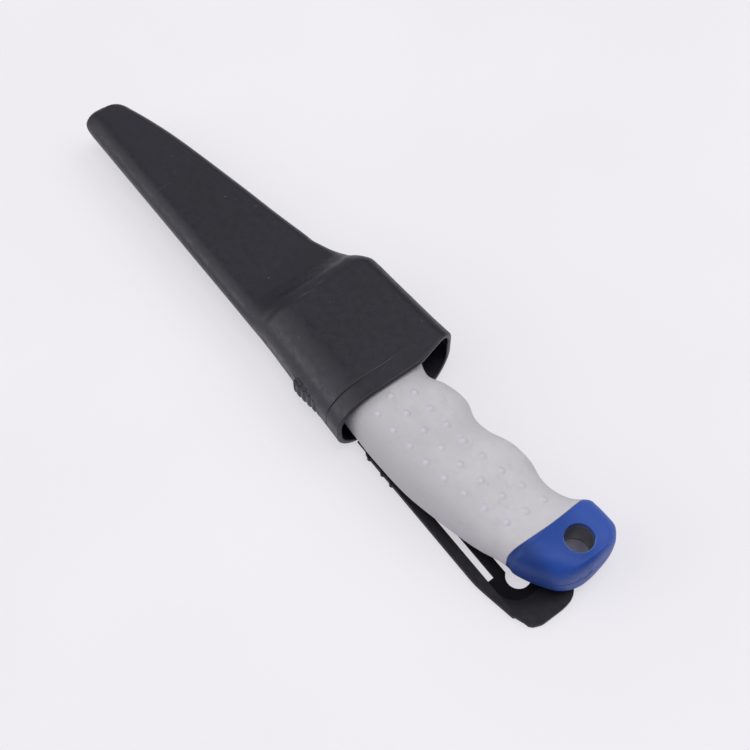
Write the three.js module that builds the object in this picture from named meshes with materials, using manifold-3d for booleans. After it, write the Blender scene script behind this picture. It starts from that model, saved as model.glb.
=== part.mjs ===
// Fishing knife in its belt sheath, lying on the back of the sheath.
// Millimetres, +Z up. +X runs from the sheath tip to the butt of the handle.
// +Y is the finger side, where the cutting edge is. The origin is on the flat back of the throat.
import * as THREE from "three";
import { mergeVertices } from "three/addons/utils/BufferGeometryUtils.js";
import Module from "manifold-3d";

const wasm = await Module();
wasm.setup();

// Fits
const GAP = 0.3;
const THROAT_PLAY = 0.7;
const SPINE_PLAY = 2.0;
const GUARD_PLAY = 1.0;
const POUCH_PLAY = 1.9;
const EDGE_PLAY = 1.8;
const TIP_PLAY = 1.8;

// Belt hanger, measured from the lip of the sheath
const HANGER_THICKNESS = 1.8;
const HANGER_LENGTH = 80;
const HANGER_HALF_WIDTH = 12.25;
const HANGER_END_HALF_WIDTH = 9.3;
const HANGER_TAPER_START = 59;
const HANGER_CORNER = 4.5;
const HANGER_CENTRE_Y = -4.6;
const WEB_THICKNESS = 1.0;
const WEB_LENGTH = 5;
const WEB_HALF_WIDTH = 11.6;
const LUG_RADIUS = 0.9;
const LUG_RISE = 0.35;
const LUG_STATIONS = [7.2, 13.9, 18.4];
const SLOT_WIDTH = 2.5;
const SLOT_START = 24;
const SLOT_END = 60.5;
const PANEL_HALF_WIDTH = 8.8;
const PANEL_START = 22;
const PANEL_END = 71.3;
const PANEL_CORNER = 7;
const PANEL_DEPTH = 0.8;
const KEYHOLE_RADIUS = 3.85;
const KEYHOLE_STATION = 64.3;
const KEYHOLE_Y = -4.85;
const CHANNEL_HALF_WIDTH = 2.2;
const CHANNEL_START = 38;

// Handle
const HANDLE_HALF_THICKNESS = 9.5;
const GRIP_WALL = 2.4;
const HANDLE_SQUARENESS = 3.2;
const CAP_STATION = 99.6;
const SEAM_BOW = 1.6;
const COLLAR_WALL = 1.2;
const COLLAR_DEPTH = 1.2;
const HOLE_RADIUS = 4.4;
const HOLE_STATION = 109;
const HOLE_Y = 9.6;
const NUB_RADIUS = 1.25;
const NUB_RISE = 0.5;
const NUBS_PER_ROW = 8;
// Rows of nubs: distance from the back edge at the first and last nub, first station, last station
const NUB_ROWS = [
  [19.5, 18.7, 44.1, 94.4],
  [12.8, 12, 40.8, 94.0],
  [6.4, 5.6, 43.6, 93.4],
];
// Handle outline: station from the front face, back edge Y, finger edge Y, share of the thickness
const HANDLE_OUTLINE = [
  [0, -16.5, 13.5, 0.86],
  [7, -17.5, 18, 0.92],
  [20, -18, 20.2, 0.97],
  [30, -18, 14.2, 1],
  [39.5, -18.2, 10.4, 1],
  [46, -18.5, 12.8, 1],
  [53.5, -18.4, 14.4, 1],
  [60, -18, 12.6, 1],
  [66, -17.3, 12.8, 1],
  [73, -16.1, 15.7, 1],
  [80.5, -14.2, 16.9, 1],
  [87, -12.5, 15.4, 1],
  [92, -10.9, 15.5, 0.99],
  [97, -8.9, 17.6, 0.98],
  [100.5, -8.1, 21.2, 0.99],
  [103, -8, 22.3, 0.99],
  [107.5, -6.3, 22.4, 0.98],
  [112, -3.4, 22, 0.94],
  [115, -0.4, 18.7, 0.87],
  [116.8, 2.7, 11.2, 0.62],
  [117.8, 5.4, 8.8, 0.3],
];
const GUARD_REACH = 20.2;
const BACK_REACH = 18;

// Blade with stick tang
const BLADE_THICKNESS = 2;
const BLADE_LENGTH = 110;
const SPINE_Y = -14.5;
const TIP_Y = -12.8;
const HEEL_Y = 8.2;
const EDGE_THICKNESS = 0.3;
const BEVEL_SHARE = 0.4;
const RICASSO = 5;
const TANG_LENGTH = 78;
const TANG_WIDTH = 11;
const TANG_Y = -3.5;
const TANG_HOLE_RADIUS = 2.5;
const TANG_HOLES = [26, 56];

// Sheath
const HANDLE_INSERT = 38;
const STEP_LENGTH = 12;
const FLARE_LENGTH = 18;
const THROAT_FLARE = 1.3;
const ROOT_LEAD = 0.5;
const BACK_RADIUS = 10.4;
const FINGER_RADIUS = 7;
const LIP_CUT_Y = 9;
const LIP_CUT_SLOPE = 0.26;
const RIM_WIDTH = 6.2;
const RIM_STEP = 0.3;
const PAD_START = 24.4;
const PAD_END = 10.6;
const PAD_LEAD = 3;
const PAD_WALL = 0.45;
const PAD_OUT = 1.5;
const PAD_LOW = 7.8;
const PAD_HEIGHT = 6.4;
const RIB_COUNT = 5;
const RIB_RADIUS = 0.95;
const DRAIN_RADIUS = 1.6;
const TIP_SIDE_PLAY = 5.7;
const POUCH_BULGE = 3.2;

// Levels and stations that follow from the values above
const HANDLE_LOW = HANGER_THICKNESS + GAP + NUB_RISE;
const WALL = HANDLE_LOW - THROAT_PLAY;
const MID_Z = HANDLE_LOW + HANDLE_HALF_THICKNESS;
const THROAT_LENGTH = HANDLE_INSERT + WALL + 2;
const LIP_X = THROAT_LENGTH / 2;
const FRONT_X = LIP_X - HANDLE_INSERT;
const TIP_X = FRONT_X - BLADE_LENGTH;
const SHEATH_BACK_Y = -(BACK_REACH + SPINE_PLAY + WALL);
const THROAT_FINGER_Y = GUARD_REACH + GUARD_PLAY + WALL;
const POUCH_HALF = BLADE_THICKNESS / 2 + POUCH_PLAY + WALL;
const OVERRUN = 20;
const RING_POINTS = 20;

// Basic solids
function solidOf(geometry) {
  geometry.deleteAttribute("normal");
  geometry.deleteAttribute("uv");
  const merged = mergeVertices(geometry, 1e-5);
  const mesh = new wasm.Mesh({
    numProp: 3,
    vertProperties: new Float32Array(merged.attributes.position.array),
    triVerts: new Uint32Array(merged.index.array),
  });
  return new wasm.Manifold(mesh);
}

function loft(rings) {
  const count = rings[0].length;
  const last = rings.length - 1;
  const points = rings.flat();
  const faces = [];
  for (let i = 0; i < last; i += 1) {
    for (let j = 0; j < count; j += 1) {
      const a = i * count + j;
      const b = i * count + ((j + 1) % count);
      faces.push(a, b, a + count, b, b + count, a + count);
    }
  }
  for (let j = 1; j < count - 1; j += 1) {
    const end = last * count;
    faces.push(0, j + 1, j, end, end + j, end + j + 1);
  }
  const geometry = new THREE.BufferGeometry();
  geometry.setAttribute("position", new THREE.Float32BufferAttribute(points.flat(), 3));
  geometry.setIndex(faces);
  return solidOf(geometry);
}

function extrude(shape, low, high, steps = 10) {
  const options = { depth: high - low, bevelEnabled: false, curveSegments: steps };
  const geometry = new THREE.ExtrudeGeometry(shape, options);
  geometry.translate(0, 0, low);
  return solidOf(geometry);
}

function polygon(points) {
  return new THREE.Shape(points.map(([x, y]) => new THREE.Vector2(x, y)));
}

function circle(x, y, radius) {
  return new THREE.Shape().absarc(x, y, radius, 0, 2 * Math.PI);
}

function stadium(x0, x1, y, radius) {
  const shape = new THREE.Shape();
  shape.absarc(x0, y, radius, Math.PI / 2, 1.5 * Math.PI);
  shape.absarc(x1, y, radius, -Math.PI / 2, Math.PI / 2);
  return shape;
}

// A smooth table: columns are interpolated along the stations of the first column
function smoothTable(rows, samples) {
  const columns = rows[0].length;
  const table = [];
  for (let i = 0; i <= samples; i += 1) {
    const u = (i / samples) * (rows.length - 1);
    const k = Math.min(Math.floor(u), rows.length - 2);
    const t = u - k;
    const row = [];
    for (let c = 0; c < columns; c += 1) {
      const p1 = rows[k][c];
      const p2 = rows[k + 1][c];
      const p0 = k > 0 ? rows[k - 1][c] : 2 * p1 - p2;
      const p3 = k + 2 < rows.length ? rows[k + 2][c] : 2 * p2 - p1;
      const bend = p0 - 2.5 * p1 + 2 * p2 - 0.5 * p3;
      const twist = 1.5 * (p1 - p2) + 0.5 * (p3 - p0);
      row.push(p1 + t * (0.5 * (p2 - p0) + t * (bend + t * twist)));
    }
    table.push(row);
  }
  return table;
}

function readTable(table, x, column) {
  let i = 1;
  while (i < table.length - 1 && table[i][0] < x) {
    i += 1;
  }
  const share = (x - table[i - 1][0]) / (table[i][0] - table[i - 1][0]);
  return THREE.MathUtils.lerp(table[i - 1][column], table[i][column], share);
}

// Handle form: squarish oval sections along the outline, set in by an even amount
const handleTable = smoothTable(HANDLE_OUTLINE, 42);
const HANDLE_LENGTH = HANDLE_OUTLINE.at(-1)[0];

function handleForm(inset, frontRun) {
  const power = 2 / HANDLE_SQUARENESS;
  const rings = handleTable.map(([station, back, finger, share], index) => {
    const late = Math.max(0, (station - CAP_STATION) / (HANDLE_LENGTH - CAP_STATION));
    const x = FRONT_X + station - inset * late - (index === 0 ? frontRun : 0);
    const half = Math.max(0.3, (finger - back) / 2 - inset);
    const height = Math.max(0.3, HANDLE_HALF_THICKNESS * share - inset);
    const ring = [];
    for (let j = 0; j < RING_POINTS; j += 1) {
      const angle = (j / RING_POINTS) * 2 * Math.PI;
      const c = Math.cos(angle);
      const s = Math.sin(angle);
      const y = (back + finger) / 2 + half * Math.sign(c) * Math.abs(c) ** power;
      ring.push([x, y, MID_Z + height * Math.sign(s) * Math.abs(s) ** power]);
    }
    return ring;
  });
  return loft(rings);
}

function handleHeight(station, y) {
  const back = readTable(handleTable, station, 1);
  const finger = readTable(handleTable, station, 2);
  const across = Math.abs((2 * y - back - finger) / (finger - back));
  const rise = (1 - across ** HANDLE_SQUARENESS) ** (1 / HANDLE_SQUARENESS);
  return HANDLE_HALF_THICKNESS * readTable(handleTable, station, 3) * rise;
}

function nubSolids() {
  const nubs = [];
  const sink = (NUB_RADIUS ** 2 + NUB_RISE ** 2) / (2 * NUB_RISE);
  for (const [near, far, first, last] of NUB_ROWS) {
    for (let i = 0; i < NUBS_PER_ROW; i += 1) {
      const share = i / (NUBS_PER_ROW - 1);
      const station = THREE.MathUtils.lerp(first, last, share);
      const y = readTable(handleTable, station, 1) + THREE.MathUtils.lerp(near, far, share);
      const rise = handleHeight(station, y) + NUB_RISE - sink;
      for (const side of [-1, 1]) {
        const ball = new THREE.SphereGeometry(sink, 8, 5);
        ball.rotateX((side * Math.PI) / 2);
        ball.translate(FRONT_X + station, y, MID_Z + side * rise);
        nubs.push(solidOf(ball));
      }
    }
  }
  return nubs;
}

// Blade and tang
const edgeCurve = new THREE.CubicBezierCurve(
  new THREE.Vector2(FRONT_X - RICASSO, HEEL_Y),
  new THREE.Vector2(FRONT_X - 0.46 * BLADE_LENGTH, HEEL_Y),
  new THREE.Vector2(FRONT_X - 0.82 * BLADE_LENGTH, (2 * HEEL_Y + 3 * TIP_Y) / 7),
  new THREE.Vector2(TIP_X, TIP_Y),
);

function bladeRing(x, edgeY, edgeHalf) {
  const half = BLADE_THICKNESS / 2;
  const spine = Math.min(SPINE_Y, edgeY - 0.3);
  const bevel = THREE.MathUtils.lerp(edgeY, spine, BEVEL_SHARE);
  return [
    [x, bevel, MID_Z - half],
    [x, edgeY, MID_Z - edgeHalf],
    [x, edgeY, MID_Z + edgeHalf],
    [x, bevel, MID_Z + half],
    [x, spine, MID_Z + half],
    [x, spine, MID_Z - half],
  ];
}

function tangShape(grow) {
  const low = TANG_Y - TANG_WIDTH / 2 - grow;
  const high = TANG_Y + TANG_WIDTH / 2 + grow;
  const end = FRONT_X + TANG_LENGTH + grow;
  const start = FRONT_X - 1;
  const shape = polygon([[start, low], [end - 3, low], [end, low + 3], [end, high - 3], [end - 3, high], [start, high]]);
  for (const station of TANG_HOLES) {
    shape.holes.push(circle(FRONT_X + station, TANG_Y, TANG_HOLE_RADIUS - grow));
  }
  return shape;
}

function makeBlade() {
  const rings = [bladeRing(FRONT_X - GAP, HEEL_Y, BLADE_THICKNESS / 2)];
  for (let i = 0; i <= 16; i += 1) {
    const point = edgeCurve.getPoint(i / 16);
    rings.push(bladeRing(point.x, point.y, EDGE_THICKNESS / 2));
  }
  const tang = extrude(tangShape(0), MID_Z - BLADE_THICKNESS / 2, MID_Z + BLADE_THICKNESS / 2, 8);
  return loft(rings.reverse()).add(tang);
}

// Handle pieces
function holeRod(radius) {
  return extrude(circle(FRONT_X + HOLE_STATION, HOLE_Y, radius), 0, 2 * MID_Z, 10);
}

function collar(grow) {
  return holeRod(HOLE_RADIUS + COLLAR_WALL + grow).intersect(handleForm(COLLAR_DEPTH + GAP - grow, 0));
}

function makeCore() {
  const slotHalf = BLADE_THICKNESS / 2 + GAP;
  const slot = extrude(tangShape(GAP), MID_Z - slotHalf, MID_Z + slotHalf, 8);
  return handleForm(GRIP_WALL + GAP, 0).subtract(slot).add(collar(0)).subtract(holeRod(HOLE_RADIUS));
}

// A slab that ends at the bowed seam between grip and cap: side -1 keeps the grip, 1 the cap
function seamSlab(side) {
  const table = handleTable.find(([station]) => station >= CAP_STATION);
  const middle = (table[1] + table[2]) / 2;
  const reach = (table[2] - table[1]) / 2;
  const seam = FRONT_X + CAP_STATION + (side * GAP) / 2;
  const far = seam + side * 2 * HANDLE_LENGTH;
  const points = [[far, middle + side * 3 * reach], [far, middle - side * 3 * reach]];
  for (const share of [-3, -1, -0.8, -0.6, -0.4, -0.2, 0, 0.2, 0.4, 0.6, 0.8, 1, 3]) {
    const across = Math.min(1, Math.abs(share));
    points.push([seam + SEAM_BOW * (1 - across * across), middle + side * share * reach]);
  }
  return extrude(polygon(points), -OVERRUN, 2 * MID_Z + OVERRUN);
}

function makeGrip() {
  let grip = handleForm(0, 0);
  for (const nub of nubSolids()) {
    grip = grip.add(nub);
  }
  return grip.intersect(seamSlab(-1)).subtract(handleForm(GRIP_WALL, OVERRUN));
}

function makeCap() {
  const inside = handleForm(GRIP_WALL, 0).add(collar(GAP)).add(holeRod(HOLE_RADIUS));
  return handleForm(0, 0).intersect(seamSlab(1)).subtract(inside);
}

// Sheath
function sheathStations() {
  const tip = TIP_X - TIP_PLAY - WALL;
  const root = FRONT_X - WALL - ROOT_LEAD;
  const flare = root - FLARE_LENGTH;
  const step = root - STEP_LENGTH;
  const rootY = HEEL_Y + EDGE_PLAY + WALL;
  const endY = TIP_Y + TIP_SIDE_PLAY + WALL;
  const from = new THREE.Vector2(tip + 6, endY);
  const to = new THREE.Vector2(flare - 4, rootY);
  const middle = from.clone().lerp(to, 0.36).add(new THREE.Vector2(0, POUCH_BULGE));
  const edge = new THREE.QuadraticBezierCurve(from, middle, to);
  const pouch = edge.getPoints(7).map((p) => [p.x, SHEATH_BACK_Y, p.y, POUCH_HALF]);
  const rise = THROAT_FINGER_Y - rootY;
  const depth = MID_Z - POUCH_HALF;
  return [
    [tip, SHEATH_BACK_Y + 2.6, endY - 6, POUCH_HALF - 1.7],
    [tip + 0.8, SHEATH_BACK_Y + 0.9, endY - 3.6, POUCH_HALF - 0.9],
    [tip + 2.6, SHEATH_BACK_Y + 0.2, endY - 1.6, POUCH_HALF - 0.4],
    ...pouch,
    [flare, SHEATH_BACK_Y, rootY + 0.2 * rise, POUCH_HALF],
    [step, SHEATH_BACK_Y, rootY + 0.42 * rise, POUCH_HALF + 0.1 * depth],
    [step + 0.34 * STEP_LENGTH, SHEATH_BACK_Y + 0.1, rootY + 0.61 * rise, POUCH_HALF + 0.38 * depth],
    [step + 0.67 * STEP_LENGTH, SHEATH_BACK_Y + 0.3, rootY + 0.76 * rise, POUCH_HALF + 0.8 * depth],
    [root, SHEATH_BACK_Y + 0.5, rootY + 0.89 * rise, MID_Z],
    [LIP_X - RIM_WIDTH - 0.15, SHEATH_BACK_Y - THROAT_FLARE, THROAT_FINGER_Y + THROAT_FLARE, MID_Z],
    [LIP_X + OVERRUN / 4, SHEATH_BACK_Y - THROAT_FLARE, THROAT_FINGER_Y + THROAT_FLARE, MID_Z],
  ];
}

function sheathRing([x, back, finger, half], inset) {
  const height = half - inset;
  const low = back + inset;
  const high = finger - inset;
  const backRadius = Math.min(0.94 * height, BACK_RADIUS - inset);
  const fingerRadius = Math.min(0.94 * height, FINGER_RADIUS - inset);
  const corners = [
    [high - fingerRadius, height - fingerRadius, fingerRadius, 0],
    [low + backRadius, height - backRadius, backRadius, 1],
    [low + backRadius, backRadius - height, backRadius, 2],
    [high - fingerRadius, fingerRadius - height, fingerRadius, 3],
  ];
  const ring = [];
  for (const [y, z, radius, quarter] of corners) {
    for (let j = 0; j <= 6; j += 1) {
      const angle = ((quarter + j / 6) * Math.PI) / 2;
      ring.push([x, y + radius * Math.cos(angle), MID_Z + z + radius * Math.sin(angle)]);
    }
  }
  return ring;
}

function padShape() {
  const wallY = SHEATH_BACK_Y - PAD_WALL;
  const start = LIP_X - PAD_START;
  const end = LIP_X - PAD_END;
  const first = start + PAD_LEAD;
  const pitch = (end - first) / RIB_COUNT;
  const shape = new THREE.Shape();
  shape.moveTo(start, wallY + WALL);
  shape.lineTo(start, wallY);
  shape.lineTo(first - pitch / 2, wallY - PAD_OUT + RIB_RADIUS);
  for (let i = 0; i < RIB_COUNT; i += 1) {
    const x = first + i * pitch;
    const y = wallY - PAD_OUT + RIB_RADIUS + (i * PAD_OUT) / (2 * RIB_COUNT);
    shape.absarc(x, y, RIB_RADIUS, Math.PI, 2 * Math.PI);
  }
  shape.lineTo(end, wallY - 0.5);
  shape.lineTo(end, wallY + WALL);
  return shape;
}

function makeSheath() {
  const stations = sheathStations();
  const outer = loft(stations.map((station) => sheathRing(station, 0)));
  const inner = stations.map(([x, ...rest], index) => sheathRing([index < 3 ? x + WALL : x, ...rest], WALL));
  const rimStart = LIP_X - RIM_WIDTH;
  const rim = stations.slice(-2).map(([x, ...rest], index) => [index === 0 ? rimStart : x, ...rest]);
  const band = loft(rim.map((station) => sheathRing(station, -OVERRUN / 4)));
  const core = loft(rim.map((station) => sheathRing(station, RIM_STEP)));
  const pad = extrude(padShape(), PAD_LOW, PAD_LOW + PAD_HEIGHT, 6);
  const reach = LIP_CUT_Y + OVERRUN * 2;
  const mouth = polygon([
    [LIP_X, -99],
    [LIP_X + OVERRUN, -99],
    [LIP_X + OVERRUN, reach],
    [LIP_X - LIP_CUT_SLOPE * (reach - LIP_CUT_Y), reach],
    [LIP_X, LIP_CUT_Y],
  ]);
  const drain = new THREE.CylinderGeometry(DRAIN_RADIUS, DRAIN_RADIUS, OVERRUN, 16);
  drain.rotateZ(Math.PI / 2);
  drain.translate(TIP_X - TIP_PLAY, (SHEATH_BACK_Y + TIP_Y) / 2 + 3, MID_Z);
  return outer
    .subtract(band.subtract(core))
    .add(pad)
    .subtract(loft(inner))
    .subtract(extrude(mouth, -OVERRUN, 2 * MID_Z + OVERRUN))
    .subtract(solidOf(drain));
}

// Belt hanger
function hangerOutline() {
  const rootX = LIP_X + GAP + WEB_THICKNESS / 2;
  const end = LIP_X + HANGER_LENGTH;
  const corner = HANGER_CORNER;
  const side = (sign) => [
    [rootX, sign * WEB_HALF_WIDTH],
    [LIP_X + WEB_LENGTH, sign * WEB_HALF_WIDTH],
    [LIP_X + WEB_LENGTH + 2, sign * HANGER_HALF_WIDTH],
    [LIP_X + HANGER_TAPER_START, sign * HANGER_HALF_WIDTH],
    [end - corner, sign * HANGER_END_HALF_WIDTH],
  ];
  const place = ([x, y]) => new THREE.Vector2(x, y + HANGER_CENTRE_Y);
  const shape = new THREE.Shape();
  const low = side(-1).map(place);
  shape.moveTo(low[0].x, low[0].y);
  low.slice(1).forEach((point) => shape.lineTo(point.x, point.y));
  const inner = HANGER_END_HALF_WIDTH - corner;
  shape.absarc(end - corner, HANGER_CENTRE_Y - inner, corner, -Math.PI / 2, 0);
  shape.absarc(end - corner, HANGER_CENTRE_Y + inner, corner, 0, Math.PI / 2);
  side(1).map(place).reverse().forEach((point) => shape.lineTo(point.x, point.y));
  return shape;
}

function panelShape() {
  const shape = new THREE.Shape();
  const start = LIP_X + PANEL_START;
  const end = LIP_X + PANEL_END - PANEL_CORNER;
  const inner = PANEL_HALF_WIDTH - PANEL_CORNER;
  shape.moveTo(start, HANGER_CENTRE_Y - PANEL_HALF_WIDTH);
  shape.absarc(end, HANGER_CENTRE_Y - inner, PANEL_CORNER, -Math.PI / 2, 0);
  shape.absarc(end, HANGER_CENTRE_Y + inner, PANEL_CORNER, 0, Math.PI / 2);
  shape.lineTo(start, HANGER_CENTRE_Y + PANEL_HALF_WIDTH);
  return shape;
}

function makeHanger() {
  const top = HANGER_THICKNESS;
  const webEnd = LIP_X + WEB_LENGTH;
  const rootX = LIP_X + GAP + WEB_THICKNESS / 2;
  let hanger = extrude(hangerOutline(), 0, top, 8);
  const thin = polygon([[LIP_X - 5, -99], [webEnd, -99], [webEnd, 99], [LIP_X - 5, 99]]);
  hanger = hanger.subtract(extrude(thin, WEB_THICKNESS, top + 1));
  const root = new THREE.CylinderGeometry(WEB_THICKNESS / 2, WEB_THICKNESS / 2, 2 * WEB_HALF_WIDTH, 16);
  root.translate(rootX, HANGER_CENTRE_Y, WEB_THICKNESS / 2);
  hanger = hanger.add(solidOf(root));
  for (const station of LUG_STATIONS) {
    for (const side of [-1, 1]) {
      const y = HANGER_CENTRE_Y + side * (HANGER_HALF_WIDTH - LUG_RADIUS + LUG_RISE);
      hanger = hanger.add(extrude(circle(LIP_X + station, y, LUG_RADIUS), 0, top, 4));
    }
  }
  hanger = hanger.subtract(extrude(panelShape(), top - PANEL_DEPTH, top + 1, 8));
  const slotRadius = SLOT_WIDTH / 2;
  for (const side of [-1, 1]) {
    const y = HANGER_CENTRE_Y + side * (PANEL_HALF_WIDTH - slotRadius);
    const slot = stadium(LIP_X + SLOT_START + slotRadius, LIP_X + SLOT_END - slotRadius, y, slotRadius);
    hanger = hanger.subtract(extrude(slot, -1, top + 1, 5));
  }
  const hole = circle(LIP_X + KEYHOLE_STATION, KEYHOLE_Y, KEYHOLE_RADIUS);
  const channelStart = LIP_X + CHANNEL_START + CHANNEL_HALF_WIDTH;
  const channel = stadium(channelStart, LIP_X + KEYHOLE_STATION, KEYHOLE_Y, CHANNEL_HALF_WIDTH);
  return hanger.subtract(extrude(hole, -1, top + 1, 12)).subtract(extrude(channel, -1, top + 1, 6));
}

// Named pieces and their materials
const group = new THREE.Group();
group.name = "fishing_knife";

function addPiece(name, solid, color, roughness, metalness) {
  const mesh = solid.getMesh();
  const geometry = new THREE.BufferGeometry();
  geometry.setAttribute("position", new THREE.BufferAttribute(new Float32Array(mesh.vertProperties), 3));
  geometry.setIndex(new THREE.BufferAttribute(new Uint32Array(mesh.triVerts), 1));
  geometry.computeVertexNormals();
  const piece = new THREE.Mesh(geometry, new THREE.MeshStandardMaterial({ color, roughness, metalness }));
  piece.name = name;
  group.add(piece);
}

addPiece("sheath_body", makeSheath(), 0x34333b, 0.5, 0);
addPiece("belt_hanger", makeHanger(), 0x2f2e36, 0.55, 0);
addPiece("blade", makeBlade(), 0xb9bcc0, 0.25, 1);
addPiece("handle_core", makeCore(), 0x4a4c61, 0.55, 0);
addPiece("grip_sleeve", makeGrip(), 0xbcb9c0, 0.75, 0);
addPiece("end_cap", makeCap(), 0x304690, 0.5, 0);

export default group;
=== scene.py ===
"""Fishing knife in its belt sheath: sculpted pieces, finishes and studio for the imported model."""

import math

import bmesh
import bpy
import numpy as np
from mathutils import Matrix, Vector


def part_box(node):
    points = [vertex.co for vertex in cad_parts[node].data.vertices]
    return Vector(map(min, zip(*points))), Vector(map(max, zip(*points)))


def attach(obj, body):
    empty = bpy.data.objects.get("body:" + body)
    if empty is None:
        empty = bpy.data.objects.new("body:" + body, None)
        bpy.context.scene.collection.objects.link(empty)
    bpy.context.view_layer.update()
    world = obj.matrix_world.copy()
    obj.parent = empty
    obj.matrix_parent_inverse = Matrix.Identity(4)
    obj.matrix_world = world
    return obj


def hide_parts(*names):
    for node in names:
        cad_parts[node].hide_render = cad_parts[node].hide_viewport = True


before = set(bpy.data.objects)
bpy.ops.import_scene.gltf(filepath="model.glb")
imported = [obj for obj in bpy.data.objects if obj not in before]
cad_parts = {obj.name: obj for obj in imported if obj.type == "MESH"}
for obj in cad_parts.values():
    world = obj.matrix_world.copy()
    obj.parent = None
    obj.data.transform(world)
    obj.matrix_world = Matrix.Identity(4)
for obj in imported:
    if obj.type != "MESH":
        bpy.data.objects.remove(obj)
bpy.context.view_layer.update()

bl_info = {
    "name": "Fishing Knife",
    "version": (1, 0, 0),
    "blender": (4, 5, 0),
    "location": "View3D > Sidebar > Fishing Knife",
    "description": "Builds a sheathed fishing knife round its packed model",
    "category": "Object",
}

MM = 0.001
SHEATH_LOW, SHEATH_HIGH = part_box("sheath_body")
GRIP_LOW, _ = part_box("grip_sleeve")

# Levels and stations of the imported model, in millimetres
MID_Z = SHEATH_HIGH.z / MM / 2
LIP_X = SHEATH_HIGH.x / MM
TIP_X = SHEATH_LOW.x / MM
FRONT_X = GRIP_LOW.x / MM
THROAT_X = FRONT_X - 2.4

# Handle outline: station from the front face, back edge, finger edge, share of the thickness
HANDLE_OUTLINE = (
    (0, -16.5, 13.5, 0.86),
    (7, -17.5, 18, 0.92),
    (20, -18, 20.2, 0.97),
    (30, -18, 13.8, 1),
    (39.5, -18.2, 10.2, 1),
    (46, -18.5, 12.95, 1),
    (53.5, -18.4, 14.25, 1),
    (60, -18.1, 12.35, 1),
    (66, -17.5, 12.95, 1),
    (73, -16.2, 15.85, 1),
    (80.5, -14.5, 16.5, 1),
    (87, -12.8, 15.15, 1),
    (92, -11.2, 15.5, 0.99),
    (97, -9.1, 17.8, 0.975),
    (100.5, -8.3, 21.9, 0.97),
    (103, -8.3, 22.65, 0.978),
    (107.5, -6.3, 22.8, 0.985),
    (111, -4.1, 22.55, 0.98),
    (113.7, -1.95, 20.55, 0.975),
    (115.3, 0.3, 18.25, 0.97),
    (116.2, 2.6, 14.3, 0.88),
    (116.7, 4.9, 10.7, 0.72),
    (116.9, 6.6, 9, 0.5),
)
# Dome of the butt's faces: share of the height lost at their edges, stations where it starts and is full
BUTT_DOME, DOME_START, DOME_FULL = 0.06, 88, 104
# Lanyard hole: place, rounding of its rims, then draft, top and groove depth of its narrower lower half
HOLE_STATION, HOLE_Y, HOLE_FLARE = 109.0, 9.6, 0.35
HOLE_DRAFT, HOLE_SPLIT_Z, HOLE_GROOVE = 1.3, MID_Z - 2.1, 0.55
# Parting line of the cap: depth, half width, station where it starts to turn round the end, run of that turn
PARTING_DEPTH, PARTING_HALF, TURN_START, TURN_RUN = 0.24, 0.16, 113.5, 2.6
# Edges of the sheath: spine side, finger side at the throat's root, at its lip and at the tip
SHEATH_BACK, ROOT_FINGER, LIP_FINGER, TIP_FINGER = -21.9, 11.9, 23.1, -5.2
# Sheath: how much wider than high its corner over the spine is, share of height left at the throat's root
SPINE_STRETCH, THROAT_DIP = 1.35, 0.968
# Mouth: where the cut-back of the finger side starts, and how far it goes back for each millimetre across
CUT_START, CUT_SLOPE = 9, 0.285
# Thumb pad: distances of its ends from the lip, its levels from mid-height. Grooves: first, pitch, half width
PAD_START, PAD_END, PAD_LOW, PAD_HIGH = 23, 10.4, -5.3, 2.3
RIB_FIRST, RIB_PITCH, RIB_HALF = 1.1, 2.375, 0.5
# Worn crest of the step: distance from the lip
CREST_STATION = 41.5
# Rounded tip of the pouch: distance from its end, set-in of the spine side, finger side and faces
TIP_ROWS = (
    (0.28, 1.7, 5.8, 1.6),
    (0.95, 0.6, 3.2, 0.8),
    (2.6, 0.15, 1.3, 0.35),
)
# Finger edge of the pouch: distance from the lip, position across
POUCH_EDGE = (
    (145.7, -5.2),
    (136.65, -2.28),
    (126.65, 0.37),
    (115.71, 2.65),
    (103.82, 4.94),
    (90.95, 7.32),
    (77.15, 9.73),
    (70.75, 11),
    (64.95, 12.14),
    (62.4, 12.5),
)
# Step from the pouch to the throat:
# distance from the lip, set-in of the spine side, finger edge, share of the rise
STEP_ROWS = (
    (58.4, 0, 13.95, 0),
    (55.25, 0, 15.2, 0.03),
    (52.4, 0, 16.65, 0.1),
    (48.32, 0.1, 18.85, 0.38),
    (44.36, 0.3, 20.5, 0.8),
    (40.4, 0.5, 21.81, 1),
)
# Free end of the strap, first the spine side with its gate notch, then the finger side:
# distance from the lip, position across
NEAR_CORNER = (
    (56, -16.8),
    (59, -16.7),
    (62, -16.3),
    (73.2, -14.4),
    (73.7, -13.75),
    (75, -13.3),
    (76.4, -12.75),
    (77.9, -12.4),
    (78.9, -11.5),
    (79.35, -10.5),
    (79.9, -9),
    (80, -8),
)
FAR_CORNER = (
    (80, -1.2),
    (79.8, 0.7),
    (79.45, 2.4),
    (78.9, 3.6),
    (78.1, 4.6),
    (77.2, 5.4),
    (62, 7.1),
    (59, 7.45),
    (56, 7.65),
)
# Rows of nubs: first station, last station, distance from the back edge at NUB_ROW_SHARES of the row
NUB_ROWS = (
    (44.2, 94, 19.45, 20.3, 19.6),
    (40.8, 93.6, 12.75, 13.75, 13.2),
    (43.1, 92.9, 6.25, 7.25, 6.95),
)
NUBS_PER_ROW = 8
NUB_ROW_SHARES = (0, 0.3, 1)
# Tang and the posts of the core that pass through it
TANG_LOW, TANG_HIGH, TANG_END, TANG_CORNER = -9, 2, 78, 3
POST_STATIONS, POST_Y = (26, 56), -3.5
POST_RADIUS, POST_HOLE_RADIUS = 2.2, 2.5
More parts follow.
